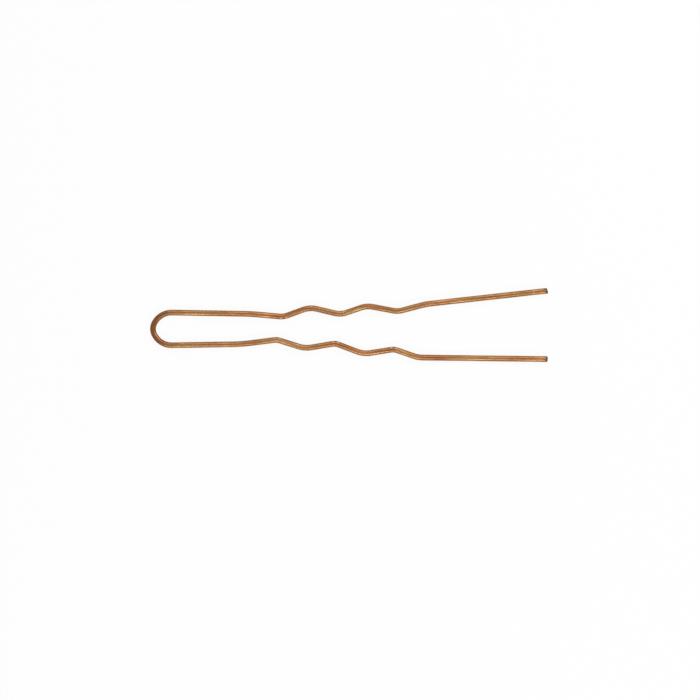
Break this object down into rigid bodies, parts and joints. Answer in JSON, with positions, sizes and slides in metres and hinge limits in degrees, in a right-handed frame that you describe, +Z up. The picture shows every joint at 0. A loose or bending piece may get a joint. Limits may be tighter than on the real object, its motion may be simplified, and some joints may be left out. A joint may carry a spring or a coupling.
{
  "type": "waved hairpin",
  "caption": "Open U-shaped hairpin of bronze lacquered spring wire with a round bow, waved legs and plain sheared tips that flex apart and together.",
  "frame": {"origin": "on the surface that the pin lies on, below the centre of the bow's crown arc", "axes": "+X from the bow to the tips along the pin, +Y towards the left leg, +Z up out of the pin's plane"},
  "size_m": [0.0701, 0.013, 0.001],
  "materials": {
    "bare_steel": "dull, as drawn, bare only at the sheared ends",
    "bronze_lacquer": "bronze lacquer, semi-gloss, with fine lengthwise drawing lines"
  },
  "bodies": {
    "bow": {"bow_wire": "bare_steel", "bow_lacquer": "bronze_lacquer"},
    "left_shank": {"left_shank_wire": "bare_steel", "left_shank_lacquer": "bronze_lacquer"},
    "left_crimp": {"left_crimp_wire": "bare_steel", "left_crimp_lacquer": "bronze_lacquer"},
    "left_tip": {"left_tip_wire": "bare_steel", "left_tip_lacquer": "bronze_lacquer"},
    "right_shank": {"right_shank_wire": "bare_steel", "right_shank_lacquer": "bronze_lacquer"},
    "right_crimp": {"right_crimp_wire": "bare_steel", "right_crimp_lacquer": "bronze_lacquer"},
    "right_tip": {"right_tip_wire": "bare_steel", "right_tip_lacquer": "bronze_lacquer"}
  },
  "joints": [
    {"name": "left_shank_flex", "type": "hinge", "parent": "bow", "child": "left_shank", "pos_m": [0.00111, 0.00287, 0.00052], "axis": [0, 0, 1], "range_deg": [-1.5, 2.5], "stiffness_Nm_per_rad": 3.2},
    {"name": "left_crimp_flex", "type": "hinge", "parent": "left_shank", "child": "left_crimp", "pos_m": [0.01108, 0.0027, 0.00052], "axis": [0, 0, 1], "range_deg": [-2.85, 4.75]},
    {"name": "left_tip_flex", "type": "hinge", "parent": "left_crimp", "child": "left_tip", "pos_m": [0.04851, 0.00466, 0.00052], "axis": [0, 0, 1], "range_deg": [-1.8, 3]},
    {"name": "right_shank_flex", "type": "hinge", "parent": "bow", "child": "right_shank", "pos_m": [0.0011, -0.00287, 0.00052], "axis": [0, 0, -1], "range_deg": [-1.5, 2.5], "stiffness_Nm_per_rad": 3.2},
    {"name": "right_crimp_flex", "type": "hinge", "parent": "right_shank", "child": "right_crimp", "pos_m": [0.00947, -0.00275, 0.00052], "axis": [0, 0, -1], "range_deg": [-2.85, 4.75]},
    {"name": "right_tip_flex", "type": "hinge", "parent": "right_crimp", "child": "right_tip", "pos_m": [0.04709, -0.00506, 0.00052], "axis": [0, 0, -1], "range_deg": [-1.8, 3]}
  ],
  "couplings": [
    {"joint": "left_crimp_flex", "follows": "left_shank_flex", "ratio": 1.9},
    {"joint": "left_tip_flex", "follows": "left_shank_flex", "ratio": 1.2},
    {"joint": "right_crimp_flex", "follows": "right_shank_flex", "ratio": 1.9},
    {"joint": "right_tip_flex", "follows": "right_shank_flex", "ratio": 1.2}
  ]
}
